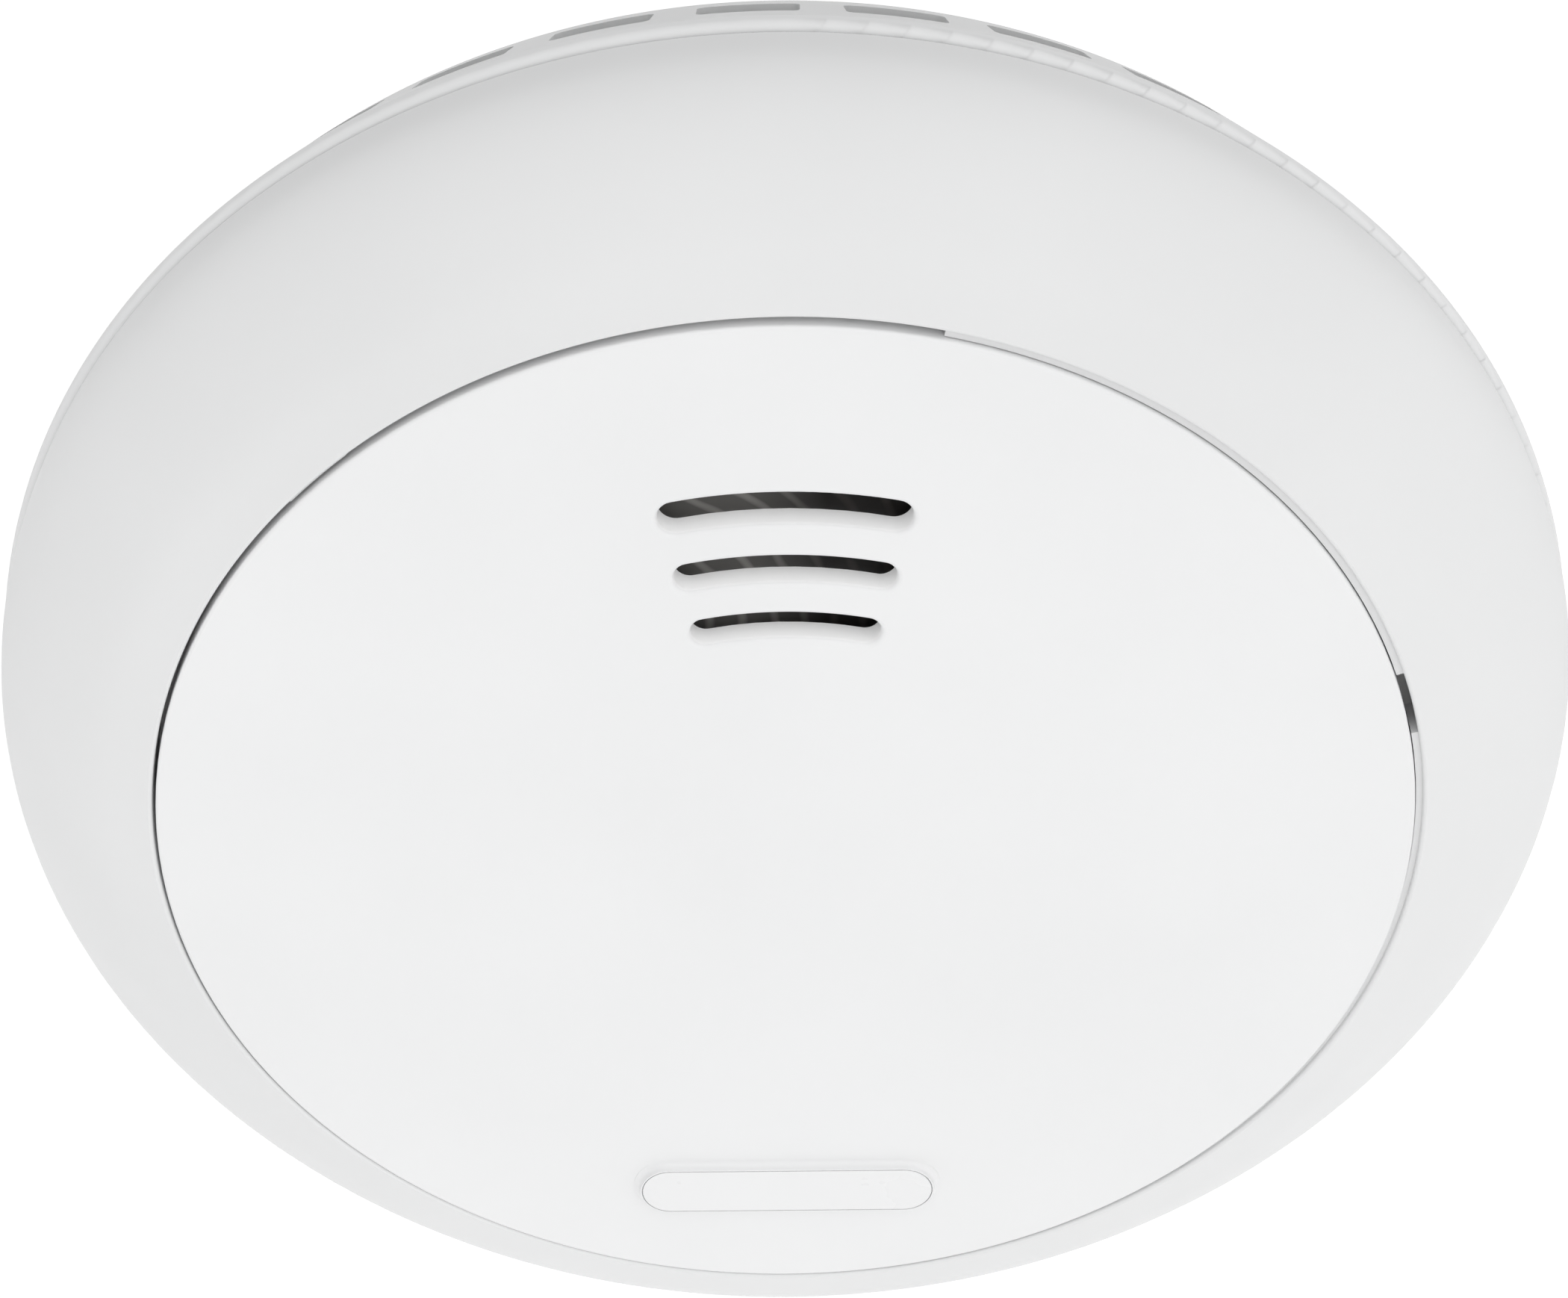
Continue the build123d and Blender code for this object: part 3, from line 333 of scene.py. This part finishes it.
finishes = {
    moulded_plastic("housing_plastic", HOUSING_WHITE, 0.46): ("rear_housing", "front_housing"),
    moulded_plastic("plate_plastic", PLATE_WHITE, 0.36, grain=0.05, slots=SLOTS_WITHIN): ("test_plate",),
    moulded_plastic("badge_plastic", PLATE_WHITE, 0.3, grain=0.03): ("badge",),
    moulded_plastic("base_plastic", BASE_WHITE, 0.5, grain=0.2, grain_size=0.5): ("mounting_plate",),
    moulded_plastic("door_plastic", BASE_WHITE, 0.42, grain=0.1): ("battery_door",),
    moulded_plastic("plunger_plastic", (0.75, 0.75, 0.73), 0.35, grain=0.04): ("test_switch_plunger",),
    moulded_plastic("switch_plastic", (0.03, 0.03, 0.032), 0.4, grain=0.1, shade=0.8):
        ("test_switch_body",),
    moulded_plastic("cell_cap_plastic", (0.05, 0.10, 0.22), 0.4, grain=0.1, shade=0.9): ("sensor_cap",),
    moulded_plastic("chip_epoxy", CHIP_BLACK, 0.5, grain=0.3, grain_size=0.15, shade=0.7):
        ("microcontroller", "surface_mount_parts", "pin_header"),
    moulded_plastic("capacitor_sleeve", (0.02, 0.022, 0.03), 0.22, grain=0.03, shade=0.8):
        ("capacitors",),
    moulded_plastic("ferrite", (0.06, 0.058, 0.058), 0.62, grain=0.5, grain_size=0.2, shade=0.75):
        ("transformer",),
    moulded_plastic("ring_rubber", (0.03, 0.03, 0.03), 0.75, grain=0.35, shade=0.8): ("horn_ring",),
    plated_metal("zinc_plate", STEEL, 0.32, tarnish=0.9): ("housing_screws", "board_screws"),
    plated_metal("nickel_strip", NICKEL, 0.24, streak=(1, 1, 0.05)):
        ("contact_link", "contact_positive", "contact_negative"),
    plated_metal("spring_wire", (0.66, 0.66, 0.66), 0.28, streak=(0.3, 1, 0.3)): ("plate_springs",),
    plated_metal("drawn_can", STEEL, 0.3, streak=(1, 0.05, 1)): ("sensor_can", "crystal"),
    plated_metal("cell_can", (0.7, 0.69, 0.67), 0.26, streak=(0.05, 1, 1)): ("battery_cells",),
    plated_metal("satin_brass", BRASS, 0.34, streak=(1, 1, 0.1), tarnish=0.75):
        ("piezo_disc", "sensor_pins"),
    horn_plastic(): ("horn_body", "horn_cap"),
    shrink_sleeve(): ("battery_wraps",),
    solder_mask(): ("main_board",),
    soft_foam(): ("battery_door_pad",),
    felt(): ("sensor_filter",),
    diffused_epoxy(): ("status_leds",),
    blank_label(): ("rating_label",),
}
for material, names in finishes.items():
    for name in names:
        nodes[name].data.materials.clear()
        nodes[name].data.materials.append(material)


# ---- pieces made here ----
def middle(name):
    """The middle of a CAD node's box."""
    low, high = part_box(name)
    return [(a + b) / 2 for a, b in zip(low, high)]


def turned(shape, profile, x, z, steps=20):
    """Adds a closed form turned about a line along Y; the profile is (radius, y) from end to end."""
    turns = [math.tau * step / steps for step in range(steps)]
    directions = [(math.cos(turn), math.sin(turn)) for turn in turns]
    rings = []
    for radius, y in profile:
        rings.append([shape.verts.new((x + radius * right, y, z + radius * up)) for right, up in directions])
    for first, second in zip(rings, rings[1:]):
        for step in range(steps):
            following = (step + 1) % steps
            shape.faces.new((first[step], first[following], second[following], second[step]))
    shape.faces.new(rings[0][::-1])
    shape.faces.new(rings[-1])


def as_piece(name, shape, material, body):
    """Turns a bmesh into a smooth-shaded object that rides on a body."""
    bmesh.ops.recalc_face_normals(shape, faces=shape.faces)
    mesh = bpy.data.meshes.new(name)
    shape.to_mesh(mesh)
    shape.free()
    mesh.materials.append(material)
    mesh.shade_smooth()
    piece = bpy.data.objects.new(name, mesh)
    bpy.context.scene.collection.objects.link(piece)
    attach(piece, body)
    return piece


PIN_PITCH = 2.54 * MM
CORNER_LEADS = {"transformer": 2.6 * MM, "test_switch_body": 2.5 * MM}  # from the middle to a corner lead
CRYSTAL_LEAD = 2.4 * MM
CAPACITOR_RADIUS = 3.2 * MM
CAPACITOR_LEAD = 1.25 * MM


def lead_places():
    """Where leads pass through the board: header, transformer, switch, crystal and capacitors."""
    x, y, z = middle("pin_header")
    places = [(x + side * PIN_PITCH / 2, z + row * PIN_PITCH) for side in (-1, 1) for row in (-1, 0, 1)]
    for name, spread in CORNER_LEADS.items():
        x, y, z = middle(name)
        places += [(x + side * spread, z + row * spread) for side in (-1, 1) for row in (-1, 1)]
    x, y, z = middle("crystal")
    places += [(x, z - CRYSTAL_LEAD), (x, z + CRYSTAL_LEAD)]
    x, y, z = middle("capacitors")
    low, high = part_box("capacitors")
    for x in (low[0] + CAPACITOR_RADIUS, high[0] - CAPACITOR_RADIUS):
        places += [(x - CAPACITOR_LEAD, z), (x + CAPACITOR_LEAD, z)]
    return places


def make_solder_joints():
    """A solder cone round the cut end of each lead, on the back of the board."""
    low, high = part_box("main_board")
    cone = ((0.95, 0.0), (0.86, 0.12), (0.62, 0.34), (0.46, 0.66), (0.40, 0.82))
    lead = ((0.32, 0.84), (0.32, 1.10), (0.25, 1.16))
    profile = [(radius * MM, high[1] + reach * MM) for radius, reach in cone + lead]
    shape = bmesh.new()
    for x, z in lead_places():
        turned(shape, profile, x, z)
    solder = plated_metal("solder", (0.72, 0.72, 0.73), 0.26, tarnish=0.8)
    as_piece("solder_joints", shape, solder, "detector")


def make_return_springs():
    """The plate's return springs as a piece with a mesh of its own; the real springs shorten as the plate is
    pressed.
    """
    cad = nodes["plate_springs"].data
    shape = bmesh.new()
    shape.from_mesh(cad)
    springs = as_piece("return_springs", shape, cad.materials[0], "detector")
    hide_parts("plate_springs")
    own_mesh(springs)


SHORTEST_CHORD, LONGEST_CHORD = 1.0, 6.0  # degrees: the chords that are divided
CHORD_CUTS = 3
LIP_ROUND = 0.8 * MM  # the radius on the rear housing's front edge


def turn_between(edge):
    """The angle in degrees that an edge spans about the detector's axis."""
    first, second = (math.atan2(vert.co.z, vert.co.x) for vert in edge.verts)
    return abs(math.degrees(math.remainder(first - second, 2 * math.pi)))


def round_lip(shape, normal, source):
    """Puts a shell's rounded front edge, and its shading, on its true quarter circle."""
    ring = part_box(source)[1][0] - LIP_ROUND
    rounded = [vert for vert in shape.verts if math.hypot(vert.co.x, vert.co.z) > ring - WELD]
    behind = min(vert.co.y for vert in rounded) + LIP_ROUND
    for vert in rounded:
        outward = Vector((vert.co.x, 0, vert.co.z))
        across = Vector((outward.length - ring, vert.co.y - behind))
        if across.y < WELD:
            across.normalize()
            outward.normalize()
            facing = outward * across.x + Vector((0, across.y, 0))
            vert.co = outward * ring + Vector((0, behind, 0)) + facing * LIP_ROUND
            for loop in vert.link_loops:
                loop[normal] = facing


def make_rounder(name, source, from_radius, lip=False):
    """Stands for a turned CAD shell, with each short chord of its circles divided into a true arc."""
    cad = nodes[source].data
    shape = bmesh.new()
    shape.from_mesh(cad)
    normal = shape.loops.layers.float_vector.new("cad_normal")
    for face in shape.faces:
        for loop, corner in zip(face.loops, cad.polygons[face.index].loop_indices):
            loop[normal] = cad.corner_normals[corner].vector
    radius = shape.verts.layers.float.new("radius")
    for vert in shape.verts:
        vert[radius] = math.hypot(vert.co.x, vert.co.z)
    bmesh.ops.remove_doubles(shape, verts=shape.verts, dist=WELD)
    outer = [edge for edge in shape.edges if min(vert[radius] for vert in edge.verts) > from_radius]
    chords = [edge for edge in outer if SHORTEST_CHORD < turn_between(edge) < LONGEST_CHORD]
    bmesh.ops.subdivide_edges(shape, edges=chords, cuts=CHORD_CUTS)
    for vert in shape.verts:
        chord_radius = math.hypot(vert.co.x, vert.co.z)
        if chord_radius > from_radius - 1 * MM:
            vert.co.x *= vert[radius] / chord_radius
            vert.co.z *= vert[radius] / chord_radius
    if lip:
        round_lip(shape, normal, source)
    bmesh.ops.triangulate(shape, faces=shape.faces)
    piece = as_piece(name, shape, cad.materials[0], "detector")
    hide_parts(source)
    mesh = piece.data
    normals = [item.vector.normalized() for item in mesh.attributes["cad_normal"].data]
    mesh.normals_split_custom_set(normals)
    for spare in ("cad_normal", "radius"):
        mesh.attributes.remove(mesh.attributes[spare])


make_solder_joints()
make_return_springs()
make_rounder("cover_shell", "front_housing", 46.0 * MM)
make_rounder("base_shell", "rear_housing", 60.0 * MM, lip=True)


# ---- studio ----
SKY = 0.937  # even light of the surround
SIDE_SLOPE = 0.069  # a little brighter on the right
BEHIND_CAMERA = -0.85  # the unlit room behind the camera
SOFTBOX, SOFTBOX_WAY = 1.6, (0.1, -0.75, 0.65)  # large soft light above the front
BACKDROP, BACKDROP_WAY = -0.66, (0, 0.6, 0.8)  # unlit ground behind the detector's top
FLOOR_RADIUS, FLOOR_DROP = 3.0, 0.3
FLOOR_GLOW = 0.32  # the floor's own light
FILL_PLACE, FILL_TARGET = (-0.5, -0.45, 0.6), (0, -0.02, 0)
FILL_SIZE, FILL_POWER = 0.5, 0.15
CAMERA_PLACE = (-2.1 * MM, -250.5 * MM, 191.8 * MM)
CAMERA_FORWARD, CAMERA_UP = (0.0065, 0.7833, -0.6217), (0.0082, 0.6216, 0.7834)
CAMERA_LENS, CAMERA_SENSOR = 81.2, 36


def area_light(name, place, target, size, power):
    """A soft square light aimed at a point."""
    data = bpy.data.lights.new(name, "AREA")
    data.shape = "SQUARE"
    data.size = size
    data.energy = power
    light = bpy.data.objects.new(name, data)
    light.location = place
    aim = Vector(target) - Vector(place)
    light.rotation_euler = aim.to_track_quat("-Z", "Y").to_euler()
    bpy.context.scene.collection.objects.link(light)


def lobe(tree, direction, way, power):
    """How far a direction points one way, from 0 to 1, raised to a power."""
    node = tree.nodes.new("ShaderNodeVectorMath")
    node.operation = "DOT_PRODUCT"
    tree.links.new(direction, node.inputs[0])
    node.inputs[1].default_value = Vector(way).normalized()
    return maths(tree, "POWER", maths(tree, "MAXIMUM", node.outputs["Value"]), power)


def make_studio():
    """A white surround with a broad soft light above the front and darker ground behind."""
    world = bpy.data.worlds.new("surround")
    world.use_nodes = True
    tree = world.node_tree
    background = tree.nodes["Background"]
    direction = tree.nodes.new("ShaderNodeTexCoord").outputs["Generated"]
    lobes = ((SIDE_SLOPE, (1, 0, 0), 1), (-SIDE_SLOPE, (-1, 0, 0), 1), (BEHIND_CAMERA, (0, -1, 0), 1),
             (SOFTBOX, SOFTBOX_WAY, 4), (BACKDROP, BACKDROP_WAY, 2))
    light = SKY
    for strength, way, power in lobes:
        share = maths(tree, "MULTIPLY", lobe(tree, direction, way, power), strength)
        light = maths(tree, "ADD", light, share)
    background.inputs["Color"].default_value = (1, 1, 1, 1)
    tree.links.new(maths(tree, "MAXIMUM", light), background.inputs["Strength"])
    bpy.context.scene.world = world
    area_light("rim_fill", FILL_PLACE, FILL_TARGET, FILL_SIZE, FILL_POWER)


def make_floor():
    """A white glowing floor well below the detector."""
    mesh = bpy.data.meshes.new("floor")
    shape = bmesh.new()
    bmesh.ops.create_circle(shape, cap_ends=True, radius=FLOOR_RADIUS, segments=96)
    shape.to_mesh(mesh)
    shape.free()
    floor = bpy.data.objects.new("floor", mesh)
    floor.location = (0, 0, -FLOOR_DROP)
    bpy.context.scene.collection.objects.link(floor)
    material, tree, shader, coords = new_material("pale_floor")
    tone = ramp(tree, noise(tree, coords, 3, 2), 0, 1)
    tree.links.new(colour_mix(tree, tone, (0.9, 0.9, 0.9), (0.93, 0.93, 0.93)), shader.inputs["Base Color"])
    shader.inputs["Roughness"].default_value = 0.9
    shader.inputs["Emission Color"].default_value = (1, 1, 1, 1)
    shader.inputs["Emission Strength"].default_value = FLOOR_GLOW
    mesh.materials.append(material)


def make_camera():
    """The camera above the detector's front, at the photograph's angle."""
    forward = Vector(CAMERA_FORWARD).normalized()
    right = forward.cross(Vector(CAMERA_UP)).normalized()
    up = right.cross(forward).normalized()
    data = bpy.data.cameras.new("camera")
    data.sensor_width = CAMERA_SENSOR
    data.lens = CAMERA_LENS
    data.clip_start = 10 * MM
    camera = bpy.data.objects.new("camera", data)
    turn = Matrix((right, up, -forward)).transposed()
    camera.matrix_world = Matrix.Translation(Vector(CAMERA_PLACE)) @ turn.to_4x4()
    bpy.context.scene.collection.objects.link(camera)
    bpy.context.scene.camera = camera


make_studio()
make_floor()
make_camera()
bpy.context.scene.view_settings.view_transform = "Standard"
